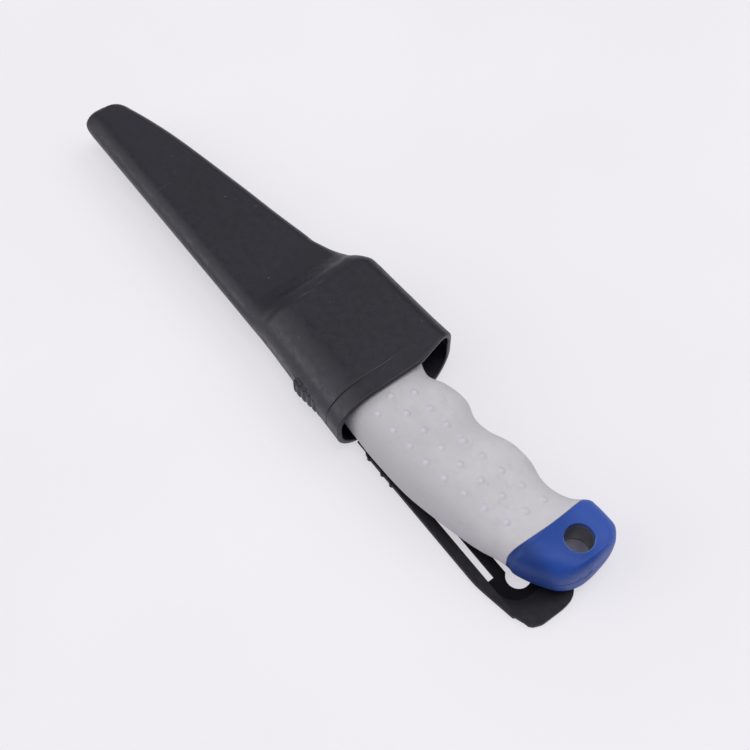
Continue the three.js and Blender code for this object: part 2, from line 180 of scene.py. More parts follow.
# Blade: cutting edge at heel and tip, spine, length ahead of the handle
BLADE_HEEL, BLADE_TIP, BLADE_SPINE, BLADE_REACH = 8.2, -12.8, -14.5, 110
# Drain hole at the tip of the sheath
DRAIN_Y, DRAIN_RADIUS = -14.4, 1.6
# Strap and the thin web at its root. Stations, starts and ends are distances from the lip
STRAP_Y, STRAP_HALF, STRAP_ROOT, LUG_STATIONS = -4.6, 12.25, 0.8, (7.2, 13.9, 18.4)
WEB_END, WEB_HALF, WEB_THICK = 5, 11.6, 1
PANEL_START, PANEL_END, PANEL_HALF, PANEL_CORNER = 22, 71.3, 8.8, 7
SLOT_START, SLOT_END, SLOT_CORNER = 24.3, 60.2, 0.3
KEY_START, KEY_END, KEY_NECK_HALF, KEY_SHIFT = 40.2, 64.55, 2.2, -0.45
# Table: share of its own light, half its side, drop below the part
TABLE_GLOW, TABLE_HALF, TABLE_DROP = 0.6, 3000, 0.2
# Surround: its strength, and as the camera sees it
SURROUND, SURROUND_SEEN = 0.1, 0.87
# Lamps: name, direction, share of the light on the table top, spread in degrees
LAMPS = (
    ("top_lamp", (0.1, -0.05, 0.99), 0.29, 30),
    ("back_lamp", (0.2, 0.62, 0.76), 0.27, 50),
    ("far_lamp", (-0.55, 0.5, 0.67), 0.05, 50),
    ("left_lamp", (-0.9, 0.1, 0.4), 0.02, 50),
    ("right_lamp", (0.85, -0.35, 0.35), 0.04, 50),
    ("front_lamp", (-0.4, -0.65, 0.62), 0.2, 60),
    ("edge_lamp", (-0.4, -0.86, 0.26), 0.03, 26),
)
# Camera: point looked at, distance, tilt and turn in degrees, lens
VIEW_TARGET, VIEW_DISTANCE = (5.203, 2.802, 0), 416.93
VIEW_TILT, VIEW_TURN, VIEW_LENS = 60, 53, 62.4


def length(name, description, millimetres):
    """Length setting with its default in millimetres."""
    return bpy.props.FloatProperty(
        name=name, description=description, default=millimetres * MM, unit="LENGTH", precision=5
    )


def colour(name, description, rgb):
    """Colour setting in linear values."""
    return bpy.props.FloatVectorProperty(
        name=name, description=description, default=rgb, size=3, min=0, max=1, subtype="COLOR"
    )


class SheathSizes(bpy.types.PropertyGroup):
    wall: length("Wall", "Thickness of the moulded wall", 1.9)
    pouch_half: length("Pouch half thickness", "Half the thickness of the blade pouch", 4.8)
    back_radius: length("Back radius", "Rounding of the throat by the spine and under the finger side", 10.4)
    finger_radius: length("Finger radius", "Rounding of the throat over the finger side", 7)
    rim_width: length("Rim width", "From the lip to the moulded line", 6.2)
    lip_round: length("Lip rounding", "Rounding of the mouth's edge", 0.5)
    pad_out: length("Pad height", "How far the thumb pad stands out", 1.75)
    rib_depth: length("Rib depth", "Depth of the grooves between the ribs", 0.9)
    rib_count: bpy.props.IntProperty(name="Grooves", description="Grooves in the thumb pad", default=5, min=0)


class HandleSizes(bpy.types.PropertyGroup):
    half_thickness: length("Half thickness", "Half the thickness of the grip", 9.5)
    wall: length("Sleeve wall", "Thickness of the soft sleeve over the core", 2.4)
    gap: length("Gap", "Clearance between neighbouring pieces", 0.3)
    seam: length("Cap seam", "Station of the seam between grip and cap", 99.6)
    seam_bow: length("Seam bow", "How far the seam bows towards the butt", 1.6)
    hole_radius: length("Lanyard hole", "Radius of the lanyard hole", 4.4)
    nub_radius: length("Nub radius", "Radius of a nub at its foot", 1.25)
    nub_rise: length("Nub rise", "Height of a nub", 0.6)
    rim: length("Hole rim", "Thickness of the cap's rim round the lanyard hole", 1.15)
    low_rim: length("Lower hole rim", "Thickness of the cap's rim under the lanyard hole", 0.6)
    squareness: bpy.props.FloatProperty(
        name="Squareness", description="Shape of the section: 2 is an oval", default=3.2, min=2, max=6
    )


class HangerSizes(bpy.types.PropertyGroup):
    thickness: length("Thickness", "Thickness of the strap", 1.8)
    edge_round: length("Edge rounding", "Rounding of the strap's edges", 0.25)
    slot_width: length("Slot width", "Width of the two belt slots", 2.5)
    keyhole_radius: length("Keyhole radius", "Radius of the keyhole's round end", 3.85)
    panel_depth: length("Panel depth", "How far the middle panel is sunk", 0.8)


class BladeSizes(bpy.types.PropertyGroup):
    thickness: length("Thickness", "Thickness of the blade at its spine", 2)
    edge: length("Edge", "Thickness left at the cutting edge", 0.3)


class Finishes(bpy.types.PropertyGroup):
    sheath: colour("Sheath", "Black moulded sheath", (0.0036, 0.0035, 0.0096))
    hanger: colour("Hanger", "Black strap", (0.007, 0.0067, 0.009))
    grip: colour("Grip", "Light grey soft grip", (0.555, 0.535, 0.575))
    cap: colour("Cap", "Blue end cap", (0.011, 0.055, 0.3))
    core: colour("Core", "Dark grey core", (0.12, 0.115, 0.145))
    steel: colour("Steel", "Blade steel", (0.6, 0.61, 0.63))
    floor: colour("Floor", "Pale table top", (0.87, 0.855, 0.895))


# Curves and sections
def steady(stations, values):
    """Smooth curve through the points that never overshoots them."""
    x = np.asarray(stations, float)
    y = np.asarray(values, float)
    step = np.diff(x)
    slope = np.diff(y) / step
    tangent = np.zeros_like(y)
    tangent[0], tangent[-1] = slope[0], slope[-1]
    for i in range(1, len(x) - 1):
        if slope[i - 1] * slope[i] > 0:
            w1 = 2 * step[i] + step[i - 1]
            w2 = step[i] + 2 * step[i - 1]
            tangent[i] = (w1 + w2) / (w1 / slope[i - 1] + w2 / slope[i])

    def read(at):
        at = np.clip(np.asarray(at, float), x[0], x[-1])
        i = np.clip(np.searchsorted(x, at) - 1, 0, len(x) - 2)
        h = step[i]
        t = (at - x[i]) / h
        a = (1 + 2 * t) * (1 - t) ** 2
        b = t * (1 - t) ** 2
        c = t * t * (3 - 2 * t)
        d = t * t * (t - 1)
        return a * y[i] + b * h * tangent[i] + c * y[i + 1] + d * h * tangent[i + 1]

    return read


def flowing(rows, per_row):
    """Smooth curve through every row of a table, with the given number of steps from row to row."""
    padded = np.vstack([2 * rows[0] - rows[1], rows, 2 * rows[-1] - rows[-2]])
    t = np.linspace(0, 1, per_row, endpoint=False)[:, None]
    pieces = []
    for a, b, c, d in zip(padded, padded[1:], padded[2:], padded[3:]):
        bend = 2 * a - 5 * b + 4 * c - d
        twist = 3 * (b - c) + d - a
        pieces.append(b + 0.5 * t * (c - a + t * (bend + t * twist)))
    return np.vstack([*pieces, rows[-1:]])


def spread_points(outline, count, density=None):
    """Resample a closed outline evenly, or closer together where density is high."""
    loop = np.vstack([outline, outline[:1]])
    steps = np.linalg.norm(np.diff(loop, axis=0), axis=1)
    if density is not None:
        steps = steps * density(loop[:-1])
    run = np.concatenate([[0], np.cumsum(steps)])
    at = np.linspace(0, run[-1], count, endpoint=False)
    return np.stack([np.interp(at, run, loop[:, k]) for k in range(2)], axis=1)


def oval(half_width, half_height, squareness, count, density):
    """Squarish oval that starts on the finger side and turns upwards."""
    angle = np.linspace(0, 2 * math.pi, 1600, endpoint=False)
    c, s = np.cos(angle), np.sin(angle)
    power = 2 / squareness
    y = half_width * np.sign(c) * np.abs(c) ** power
    z = half_height * np.sign(s) * np.abs(s) ** power
    return spread_points(np.stack([y, z], axis=1), count, density)


def bulge(value, low, high, soft):
    """1 between low and high, easing to 0 over soft on each side."""
    up = np.clip((value - low) / soft + 0.5, 0, 1)
    down = np.clip((high - value) / soft + 0.5, 0, 1)
    return up * up * (3 - 2 * up) * down * down * (3 - 2 * down)


# Meshes
def finish_piece(obj, body, node, material, sharp_degrees=35):
    """Shade a piece smooth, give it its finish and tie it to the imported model."""
    mesh = obj.data
    mesh.polygons.foreach_set("use_smooth", [True] * len(mesh.polygons))
    mesh.set_sharp_from_angle(angle=math.radians(sharp_degrees))
    mesh.materials.clear()
    mesh.materials.append(material)
    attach(obj, body)
    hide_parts(node)


def object_from(name, vertices, faces):
    """Object from points in millimetres."""
    mesh = bpy.data.meshes.new(name)
    mesh.from_pydata((np.asarray(vertices) * MM).tolist(), [], faces)
    mesh.validate()
    obj = bpy.data.objects.new(name, mesh)
    bpy.context.scene.collection.objects.link(obj)
    return obj


def skin(name, rings, loop=False):
    """Closed skin over rings of points. A loop joins the last ring to the first, else the ends are closed."""
    count = len(rings[0])
    vertices = np.vstack(rings)
    faces = []
    spans = len(rings) if loop else len(rings) - 1
    for i in range(spans):
        a = i * count
        b = ((i + 1) % len(rings)) * count
        for j in range(count):
            k = (j + 1) % count
            faces.append((a + j, a + k, b + k, b + j))
    if not loop:
        end = (len(rings) - 1) * count
        faces.append(tuple(range(count - 1, -1, -1)))
        faces.append(tuple(range(end, end + count)))
    obj = object_from(name, vertices, faces)
    turn_faces_out(obj)
    return obj


def turn_faces_out(obj):
    """Make all faces look outwards."""
    work = bmesh.new()
    work.from_mesh(obj.data)
    bmesh.ops.recalc_face_normals(work, faces=work.faces)
    if work.calc_volume(signed=True) < 0:
        bmesh.ops.reverse_faces(work, faces=work.faces)
    work.to_mesh(obj.data)
    work.free()


def combine(obj, tool, operation):
    """Change obj by tool, and remove tool."""
    change = obj.modifiers.new(operation.lower(), "BOOLEAN")
    change.operation = operation
    change.solver = "EXACT"
    change.object = tool
    keep_result(obj)
    bpy.data.objects.remove(tool)


def cut(obj, tool):
    """Cut tool out of obj, and remove it."""
    combine(obj, tool, "DIFFERENCE")


def keep_result(obj):
    """Replace the mesh by the result of the modifiers."""
    graph = bpy.context.evaluated_depsgraph_get()
    made = bpy.data.meshes.new_from_object(obj.evaluated_get(graph))
    old = obj.data
    obj.modifiers.clear()
    obj.data = made
    bpy.data.meshes.remove(old)
    made.name = obj.name


def mesh_points(obj):
    """Vertices of a piece in millimetres."""
    points = np.empty(len(obj.data.vertices) * 3)
    obj.data.vertices.foreach_get("co", points)
    return points.reshape(-1, 3) / MM


def mark_points(obj, name, values):
    """Store a share per vertex, which a finish reads."""
    layer = obj.data.attributes.new(name, "FLOAT", "POINT")
    layer.data.foreach_set("value", values)


def prism(name, outline, low, high):
    """Upright solid over an outline, between two levels."""
    base = np.asarray(outline, float)
    rings = [np.column_stack([base, np.full(len(base), z)]) for z in (low, high)]
    return skin(name, rings)


def arc(x, y, radius, start, end, count):
    """Points on an arc between two angles in degrees."""
    angle = np.radians(np.linspace(start, end, count))
    return np.column_stack([x + radius * np.cos(angle), y + radius * np.sin(angle)])


def circle(x, y, radius, count):
    """Points round a full circle."""
    return arc(x, y, radius, 0, 360 - 360 / count, count)


# Handle form
HANDLE = flowing(np.array(HANDLE_OUTLINE, float), 40)
HANDLE_LENGTH = HANDLE[-1, 0]


def handle_at(station):
    """Back edge, finger edge and share of the thickness at a station."""
    return [np.interp(station, HANDLE[:, 0], column) for column in HANDLE[:, 1:].T]


def dome(station, across):
    """Share of the height that is left across the butt, where the faces are domed."""
    return 1 - BUTT_DOME * np.clip((station - DOME_START) / (DOME_FULL - DOME_START), 0, 1) * across**2


def handle_rings(stations, inset, sizes, count, density=None):
    """Rings of the handle form, set in evenly. The seam's bow is put in where a ring lies near it."""
    seam = sizes.seam / MM
    half_thickness = sizes.half_thickness / MM
    rings = []
    for station in stations:
        late = max(0, (station - seam) / (HANDLE_LENGTH - seam))
        back, finger, share = handle_at(station)
        half = max(0.3, (finger - back) / 2 - inset)
        height = max(0.3, half_thickness * share - inset)
        section = oval(half, height, sizes.squareness, count, density)
        across = section[:, 0] / half
        near = bulge(station, seam - 1.5, seam + 1.5, 5)
        bow = sizes.seam_bow / MM * (1 - across**2) * near
        x = FRONT_X + station - inset * late + bow
        z = MID_Z + section[:, 1] * dome(station, across)
        rings.append(np.column_stack([x, section[:, 0] + (back + finger) / 2, z]))
    return rings


def handle_height(station, y, sizes):
    """Height of the handle's upper face above mid-level."""
    back, finger, share = handle_at(station)
    across = np.clip(np.abs((2 * y - back - finger) / (finger - back)), 0, 1)
    rise = (1 - across**sizes.squareness) ** (1 / sizes.squareness)
    return sizes.half_thickness / MM * share * rise * dome(station, across)


def nub_centres():
    """Middles of all nubs, seen from above."""
    centres = []
    for first, last, *offsets in NUB_ROWS:
        for share in np.linspace(0, 1, NUBS_PER_ROW):
            station = first + (last - first) * share
            inward = np.interp(share, NUB_ROW_SHARES, offsets)
            back = handle_at(station)[0]
            centres.append((FRONT_X + station, back + inward))
    return np.array(centres)


NUB_CENTRES = nub_centres()


def nub_distance(points):
    """Distance from each point to the nearest nub's middle, seen from above."""
    return np.hypot(*(points[:, None, :2] - NUB_CENTRES).transpose(2, 0, 1)).min(axis=1)


# Finishes
class Finish:
    """A node material that is put together step by step."""

    def __init__(self, name):
        self.material = bpy.data.materials.new(name)
        self.material.use_nodes = True
        self.tree = self.material.node_tree
        self.shader = self.tree.nodes["Principled BSDF"]
        self.place = self.node("ShaderNodeTexCoord").outputs["Object"]

    def node(self, kind, inputs=None, **settings):
        """New node with settings, and with inputs that are values or outputs of other nodes."""
        made = self.tree.nodes.new(kind)
        for key, value in settings.items():
            setattr(made, key, value)
        for key, value in (inputs or {}).items():
            self.put(made.inputs[key], value)
        return made

    def put(self, socket, value):
        if isinstance(value, bpy.types.NodeSocket):
            self.tree.links.new(value, socket)
        else:
            socket.default_value = value

    def feed(self, name, value):
        self.put(self.shader.inputs[name], value)

    def stretched(self, scale):
        return self.node("ShaderNodeMapping", {"Vector": self.place, "Scale": scale}).outputs["Vector"]

    def noise(self, scale, detail=2, rough=0.5, place=None):
        inputs = {"Vector": place or self.place, "Scale": scale, "Detail": detail, "Roughness": rough}
        return self.node("ShaderNodeTexNoise", inputs).outputs["Fac"]

    def cells(self, scale):
        return self.node("ShaderNodeTexVoronoi", {"Vector": self.place, "Scale": scale}).outputs["Distance"]

    def attribute(self, name):
        return self.node("ShaderNodeAttribute", attribute_name=name).outputs["Fac"]

    def along(self, axis):
        return self.node("ShaderNodeSeparateXYZ", {"Vector": self.place}).outputs[axis]

    def spread(self, source, low, high, to_low=0.0, to_high=1.0):
        inputs = {"Value": source, "From Min": low, "From Max": high, "To Min": to_low, "To Max": to_high}
        return self.node("ShaderNodeMapRange", inputs, interpolation_type="SMOOTHSTEP").outputs["Result"]

    def math(self, operation, first, second):
        return self.node("ShaderNodeMath", {0: first, 1: second}, operation=operation).outputs["Value"]

    def mix(self, factor, first, second):
        first, second = ((*side, 1) if isinstance(side, tuple) else side for side in (first, second))
        inputs = {"Factor": factor, 6: first, 7: second}
        return self.node("ShaderNodeMix", inputs, data_type="RGBA").outputs[2]

    def mottled(self, rgb, pattern, low, high, dark, light):
        """The colour made darker and lighter after a pattern."""
        return self.mix(self.spread(pattern, low, high), shade(rgb, dark), shade(rgb, light))

    def bump(self, height, distance, strength=1.0, under=None):
        inputs = {"Height": height, "Distance": distance, "Strength": strength}
        if under is not None:
            inputs["Normal"] = under
        return self.node("ShaderNodeBump", inputs).outputs["Normal"]


def shade(rgb, factor):
    """The colour made darker or lighter."""
    return tuple(min(1.0, channel * factor) for channel in rgb)


def black_plastic(name, rgb, scuffs, rough_low, gloss):
    """Satin black moulding with a fine grain, scuffs, dust and abraded edges. Sunk faces reflect less, as
    painted shade.
    """
    finish = Finish(name)
    body = finish.mottled(rgb, finish.noise(55, 4, 0.6), 0.35, 0.7, 0.85, 1.25)
    streak = finish.noise(1, 3, 0.6, finish.stretched((900, 120, 500)))
    zone = finish.spread(finish.noise(28, 2, 0.5), 0.52, 0.66)
    scuff = finish.math("MULTIPLY", finish.spread(streak, 0.64, 0.76), zone)
    dust = finish.spread(finish.cells(260), 0.09, 0.05)
    rare = finish.spread(finish.noise(120, 1, 0.5), 0.56, 0.64)
    # On the sheath this attribute marks real abrasion along the step's crest.
    wear_and_highlight_marks = finish.math("MULTIPLY", finish.attribute("wear_and_highlight"), finish.spread(streak, 0.45, 0.7))
    specks = finish.math("MULTIPLY", dust, rare)
    marks = finish.math("MAXIMUM", finish.math("MULTIPLY", scuff, scuffs), specks)
    marks = finish.math("MAXIMUM", marks, wear_and_highlight_marks)
    pale = tuple(channel * 3 + 0.05 for channel in rgb)
    finish.feed("Base Color", finish.mix(marks, body, pale))
    rough = finish.spread(finish.noise(420, 3, 0.6), 0.3, 0.7, rough_low, rough_low + 0.12)
    finish.feed("Roughness", finish.math("ADD", rough, finish.math("MULTIPLY", marks, 0.15)))
    grain = finish.noise(1500, 2, 0.6)
    finish.feed("Normal", finish.bump(grain, 0.00006, 0.55))
    # Painted shade: sunk faces get less reflection, standing in for the shadow of the handle over the
    # hanger's panel.
    finish.feed("Specular IOR Level", finish.spread(finish.attribute("sunk"), 0, 1, gloss, 0.4 * gloss))
    finish.feed("Specular Tint", (0.95, 0.93, 1, 1))
    return finish.material


def grey_soft_grip(rgb):
    """Matte grey thermoplastic rubber with handling marks and dirt specks, painted shade towards the spine
    side, and nubs tinted paler as a painted sheen.
    """
    finish = Finish("grip_soft_grey")
    body = finish.mottled(rgb, finish.noise(60, 5, 0.62), 0.3, 0.72, 0.92, 1.05)
    smear = finish.noise(1, 4, 0.6, finish.stretched((240, 360, 300)))
    grime = finish.spread(smear, 0.52, 0.74, 0, 0.32)
    soiled_and_shaded = finish.mix(grime, body, shade(rgb, 0.72))
    speck = finish.spread(finish.cells(260), 0.11, 0.04)
    rare = finish.spread(finish.noise(90, 1, 0.5), 0.54, 0.64, 0, 0.6)
    # Painted shade: the grey darkens towards the spine side, standing in for the shade that falls on the
    # grip's lower side.
    spine = finish.spread(finish.along("Y"), -4 * MM, -18 * MM, 0, 0.7)
    soiled_and_shaded = finish.mix(spine, soiled_and_shaded, shade(rgb, 0.72))
    specked_and_shaded = finish.mix(finish.math("MULTIPLY", speck, rare), soiled_and_shaded, shade(rgb, 0.4))
    # Painted sheen: the nubs are tinted a lighter, bluer grey, standing in for the light their domes catch.
    painted_sheen = tuple(channel * lift for channel, lift in zip(rgb, (1.03, 1.045, 1.09)))
    finish.feed("Base Color", finish.mix(finish.attribute("nub"), specked_and_shaded, painted_sheen))
    finish.feed("Roughness", finish.spread(finish.noise(300, 3, 0.6), 0.3, 0.7, 0.58, 0.72))
    fine = finish.bump(finish.noise(3000, 2, 0.6), 0.00003, 0.5)
    finish.feed("Normal", finish.bump(finish.noise(240, 3, 0.5), 0.00008, 0.35, fine))
    finish.feed("Specular IOR Level", 0.35)
    return finish.material


def blue_plastic(rgb):
    """Satin blue plastic with nicks, painted shade by the spine, a painted sheen on the finger side and a
    painted highlight on the hole's rim.
    """
    finish = Finish("cap_satin_blue")
    body = finish.mottled(rgb, finish.noise(90, 4, 0.6), 0.3, 0.72, 0.92, 1.05)
    # Painted shade: the blue deepens towards the spine side.
    spine = finish.spread(finish.along("Y"), 0, -5 * MM)
    body = finish.mix(spine, body, shade(rgb, 0.6))
    # Painted sheen: the blue grows paler towards the finger side, standing in for the light the cap's top
    # reflects there.
    painted_sheen = finish.spread(finish.along("Y"), 6 * MM, 22 * MM)
    body = finish.mix(painted_sheen, body, tuple(channel * 1.35 + 0.024 for channel in rgb))
    nick = finish.spread(finish.cells(330), 0.06, 0.025)
    rare = finish.spread(finish.noise(150, 1, 0.5), 0.62, 0.7, 0, 0.7)
    # Real nicks and the painted highlight on the hole's rim both show in a paler blue.
    wear_and_highlight_marks = finish.math("MAXIMUM", finish.math("MULTIPLY", nick, rare), finish.attribute("wear_and_highlight"))
    finish.feed("Base Color", finish.mix(wear_and_highlight_marks, body, (0.12, 0.24, 0.55)))
    finish.feed("Roughness", finish.spread(finish.noise(500, 3, 0.6), 0.3, 0.7, 0.42, 0.52))
    finish.feed("Normal", finish.bump(finish.noise(2400, 2, 0.6), 0.00002, 0.5))
    finish.feed("Specular IOR Level", 0.28)
    return finish.material


def core_plastic(rgb):
    """Grey hard plastic in two half mouldings with a drawn texture; the lower half is painted paler, as
    painted light on the hole's lower wall.
    """
    finish = Finish("core_dark_grey")
    upper = finish.mottled(rgb, finish.noise(140, 3, 0.6), 0.3, 0.7, 0.85, 1.15)
    # Painted light: below the split the wall is far paler, standing in for light reaching the lower part of
    # the hole.
    below = finish.spread(finish.along("Z"), (HOLE_SPLIT_Z - 0.25) * MM, (HOLE_SPLIT_Z - 0.35) * MM)
    finish.feed("Base Color", finish.mix(below, upper, shade(rgb, 4.2)))
    finish.feed("Roughness", finish.spread(finish.noise(600, 2, 0.5), 0.3, 0.7, 0.38, 0.5))
    drawn = finish.noise(1, 2, 0.5, finish.stretched((1500, 1500, 150)))
    finish.feed("Normal", finish.bump(drawn, 0.00003, 0.5))
    return finish.material


def blade_steel(rgb):
    """Stainless steel with fine grinding lines across the blade."""
    finish = Finish("blade_ground_steel")
    lines = finish.noise(1, 3, 0.65, finish.stretched((6500, 160, 900)))
    finish.feed("Base Color", finish.mottled(rgb, lines, 0.3, 0.7, 0.88, 1.06))
    finish.feed("Roughness", finish.spread(finish.noise(110, 3, 0.6), 0.3, 0.7, 0.24, 0.36))
    finish.feed("Normal", finish.bump(lines, 0.00001, 0.5))
    finish.feed("Metallic", 1.0)
    return finish.material


# Pieces
def sheath_profile():
    """Stations along the sheath: position, back edge, finger edge, half thickness."""
    sizes = bpy.context.scene.knife_sheath
    pouch = sizes.pouch_half / MM
    rise = LIP_FINGER - ROOT_FINGER
    depth = MID_Z - pouch
    rows = []
    for near, spine, side, face in TIP_ROWS:
        rows.append((TIP_X + near, SHEATH_BACK + spine, TIP_FINGER - side, pouch - face))
    rows += [(LIP_X - far, SHEATH_BACK, y, pouch) for far, y in POUCH_EDGE]
    for far, inward, y, up in STEP_ROWS:
        rows.append((LIP_X - far, SHEATH_BACK + inward, y, pouch + up * depth))
    for share in (0.25, 0.5, 0.75, 1):
        x = THROAT_X + (LIP_X - THROAT_X) * share
        finger = ROOT_FINGER + rise * (0.885 + 0.195 * share)
        rows.append((x, SHEATH_BACK + 0.5 - 1.8 * share, finger, MID_Z))
    table = np.array(rows)
    return [steady(table[:, 0], table[:, k]) for k in (1, 2, 3)]


def sheath_section(back, finger, half, inset, sizes, count):
    """Rounded section. The corner over the spine is stretched, and the upper finger corner is tighter."""
    height = half - inset
    low, high = back + inset, finger - inset
    r_back = min(0.94 * height, sizes.back_radius / MM - inset)
    r_finger = min(0.94 * height, sizes.finger_radius / MM - inset)
    corners = (
        (high - r_finger, height - r_finger, r_finger),
        (low + r_back, height - r_back, r_back),
        (low + r_back, r_back - height, r_back),
        (high - r_back, r_back - height, r_back),
    )
    quarters = [arc(y, z, r, 90 * k, 90 * (k + 1), 40) for k, (y, z, r) in enumerate(corners)]
    quarters[1][:, 0] = low + (quarters[1][:, 0] - low) * SPINE_STRETCH
    outline = np.vstack(quarters)

    def closer_by_the_pad(points):
        return 1 + 4 * ((points[:, 0] < low + 3) & (np.abs(points[:, 1]) < 7))

    return spread_points(spread_points(outline, 1200), count, closer_by_the_pad)


def lip_line(y):
    """Position of the mouth's edge: square across, then cut back on the finger side."""
    soft = np.clip((y - 7.5) / 3, 0, 1)
    return LIP_X - CUT_SLOPE * np.maximum(0, y - CUT_START) - 0.25 * soft * (1 - soft)


def sheath_ring(x, inset, profile, sizes, count):
    """Ring of the sheath, set in from its outer face. Only the outer face has the pad and the rim line."""
    back, finger, half = (float(curve(x)) for curve in profile)
    section = sheath_section(back, finger, half, inset, sizes, count)
    y, z = section[:, 0].copy(), section[:, 1].copy()
    z[z > 0] *= np.interp(x, (THROAT_X - 12, THROAT_X, LIP_X), (1, THROAT_DIP, 1))
    pulled = np.clip((x - (LIP_X - 12)) / 11, 0, 1)
    across = x + pulled * (lip_line(y) - LIP_X)
    if inset <= 0.001:
        shift = rib_shift(across, y, z, back, sizes) + rim_shift(across, y, sizes)
        normal = section_normals(section)
        y += normal[:, 0] * shift
        z += normal[:, 1] * shift
    return np.column_stack([across, y, z + MID_Z])


def section_normals(section):
    """Outward directions at the points of a section."""
    along = np.roll(section, -1, axis=0) - np.roll(section, 1, axis=0)
    normal = np.column_stack([along[:, 1], -along[:, 0]])
    return normal / np.linalg.norm(normal, axis=1)[:, None]


def rib_shift(x, y, z, back, sizes):
    """Thumb pad on the spine side of the throat, with upright grooves between its ribs."""
    start, end = LIP_X - PAD_START, LIP_X - PAD_END
    pad = bulge(z, PAD_LOW, PAD_HIGH, 0.7) * np.clip((back + 3 - y) / 1.2, 0, 1)
    along = np.clip((x - start) / (end - start), 0, 1)
    ramp = 0.3 * np.exp(np.minimum(x - start, 0) / 1.3) + 0.7 * np.clip((x - start) / 0.5, 0, 1)
    swell = ramp * sizes.pad_out / MM * (1 - along)
    grooves = np.zeros_like(x)
    for number in range(sizes.rib_count):
        middle = start + RIB_FIRST + RIB_PITCH * number
        grooves = np.maximum(grooves, np.exp(-(((x - middle) / RIB_HALF) ** 2)))
    return pad * (swell - grooves * sizes.rib_depth / MM * (1 - 0.35 * along))


def rim_shift(x, y, sizes):
    """Fine moulded line round the mouth, deepest on the spine side."""
    at = x - (LIP_X - sizes.rim_width / MM)
    fade = 0.1 + 0.9 * np.clip((6 - y) / 24, 0, 1)
    line = 0.2 * np.exp(-((at / 0.13) ** 2))
    step = 0.03 * np.clip(at / 0.3 + 0.5, 0, 1)
    return fade * (-line - step)


def make_sheath():
    """Hollow sheath: outer face, rounded lip, inner face and the drain hole."""
    sizes = bpy.context.scene.knife_sheath
    profile = sheath_profile()
    wall = sizes.wall / MM
    edge = sizes.lip_round / MM
    count = 208
    outer_x = np.concatenate([
        TIP_X + 6 * np.linspace(0, 1, 14) ** 1.8,
        np.linspace(TIP_X + 8, FRONT_X - 24, 34),
        np.linspace(FRONT_X - 23, FRONT_X - 2, 30),
        np.arange(FRONT_X - 1, LIP_X - 27, 1.2),
        np.arange(LIP_X - 27, LIP_X - 10.2, 0.16),
        np.arange(LIP_X - 10, LIP_X - 7.4, 0.5),
        np.arange(LIP_X - 7.2, LIP_X - 3.4, 0.1),
        np.linspace(LIP_X - 3.2, LIP_X - edge, 8),
    ])
    rings = [sheath_ring(x, 0, profile, sizes, count) for x in outer_x]
    for turn in np.linspace(0, math.pi, 13)[1:-1]:
        if turn < math.pi / 2:
            inset = 0.002 + edge * (1 - math.cos(turn))
        else:
            inset = wall - edge * (1 + math.cos(turn))
        x = LIP_X - edge + edge * math.sin(turn)
        rings.append(sheath_ring(x, inset, profile, sizes, count))
    inner_x = np.concatenate([
        np.linspace(LIP_X - edge, FRONT_X - 2, 24),
        np.linspace(FRONT_X - 3, FRONT_X - 23, 20),
        np.linspace(FRONT_X - 25, TIP_X + 8, 20),
        TIP_X + wall + (6 - wall) * np.linspace(1, 0, 6) ** 1.6,
    ])
    rings += [sheath_ring(x, wall, profile, sizes, count) for x in inner_x]
    obj = skin("sheath_body_moulding", rings)
    round_hole = circle(DRAIN_Y, MID_Z, DRAIN_RADIUS, 32)
    drain = skin("drain", [np.column_stack([np.full(32, x), round_hole]) for x in (TIP_X - 4, TIP_X + 8)])
    cut(obj, drain)
    x, y, z = mesh_points(obj).T
    crest = np.exp(-(((x - LIP_X + CREST_STATION) / 0.8) ** 2)) * np.clip((9 - np.abs(y + 1)) / 4, 0, 1)
    mark_points(obj, "wear_and_highlight", 0.7 * crest * (z > MID_Z + 6))
    return obj


def make_grip():
    """Soft sleeve with nubs, open at the front and at the seam."""
    sizes = bpy.context.scene.knife_handle
    seam = (sizes.seam - sizes.gap / 2) / MM + 0.1
    wall = sizes.wall / MM
    count = 300

    def closer_on_the_faces(points):
        return 1 + 1.5 * (np.abs(points[:, 1]) > 0.7 * points[:, 1].max())

    def rings_at(stations, inset):
        return handle_rings(stations, inset, sizes, count, closer_on_the_faces)

    stations = np.concatenate([
        np.linspace(0.4, 37, 28),
        np.arange(38, seam - 0.6, 0.26),
        [seam - 0.25, seam - 0.05],
    ])
    rings = rings_at([0.06], 0.35) + rings_at([0.16], 0.12) + rings_at(stations, 0) + rings_at([seam], 0.06)
    raise_nubs(rings, sizes)
    rings += rings_at([seam], wall) + rings_at(np.linspace(seam - 1.5, 2, 36), wall)
    rings += rings_at([0], wall) + rings_at([0], 0.7)
    obj = skin("grip_sleeve_soft", rings, loop=True)
    mark_points(obj, "nub", np.clip(1.3 - nub_distance(mesh_points(obj)) / (sizes.nub_radius / MM), 0, 1))
    return obj


def raise_nubs(rings, sizes):
    """Small round domes on both faces, each with a soft foot."""
    radius, rise = sizes.nub_radius / MM, sizes.nub_rise / MM
    ball = (radius**2 + rise**2) / (2 * rise)
    for ring in rings:
        away = nub_distance(ring)
        cup = np.sqrt(np.maximum(ball**2 - np.minimum(away, radius) ** 2, 0)) - (ball - rise)
        foot = 0.05 * np.clip(1 - np.abs(away - radius) / 0.3, 0, 1) ** 2
        lift = np.minimum(cup + foot, rise)
        ring[:, 2] += np.sign(ring[:, 2] - MID_Z) * lift


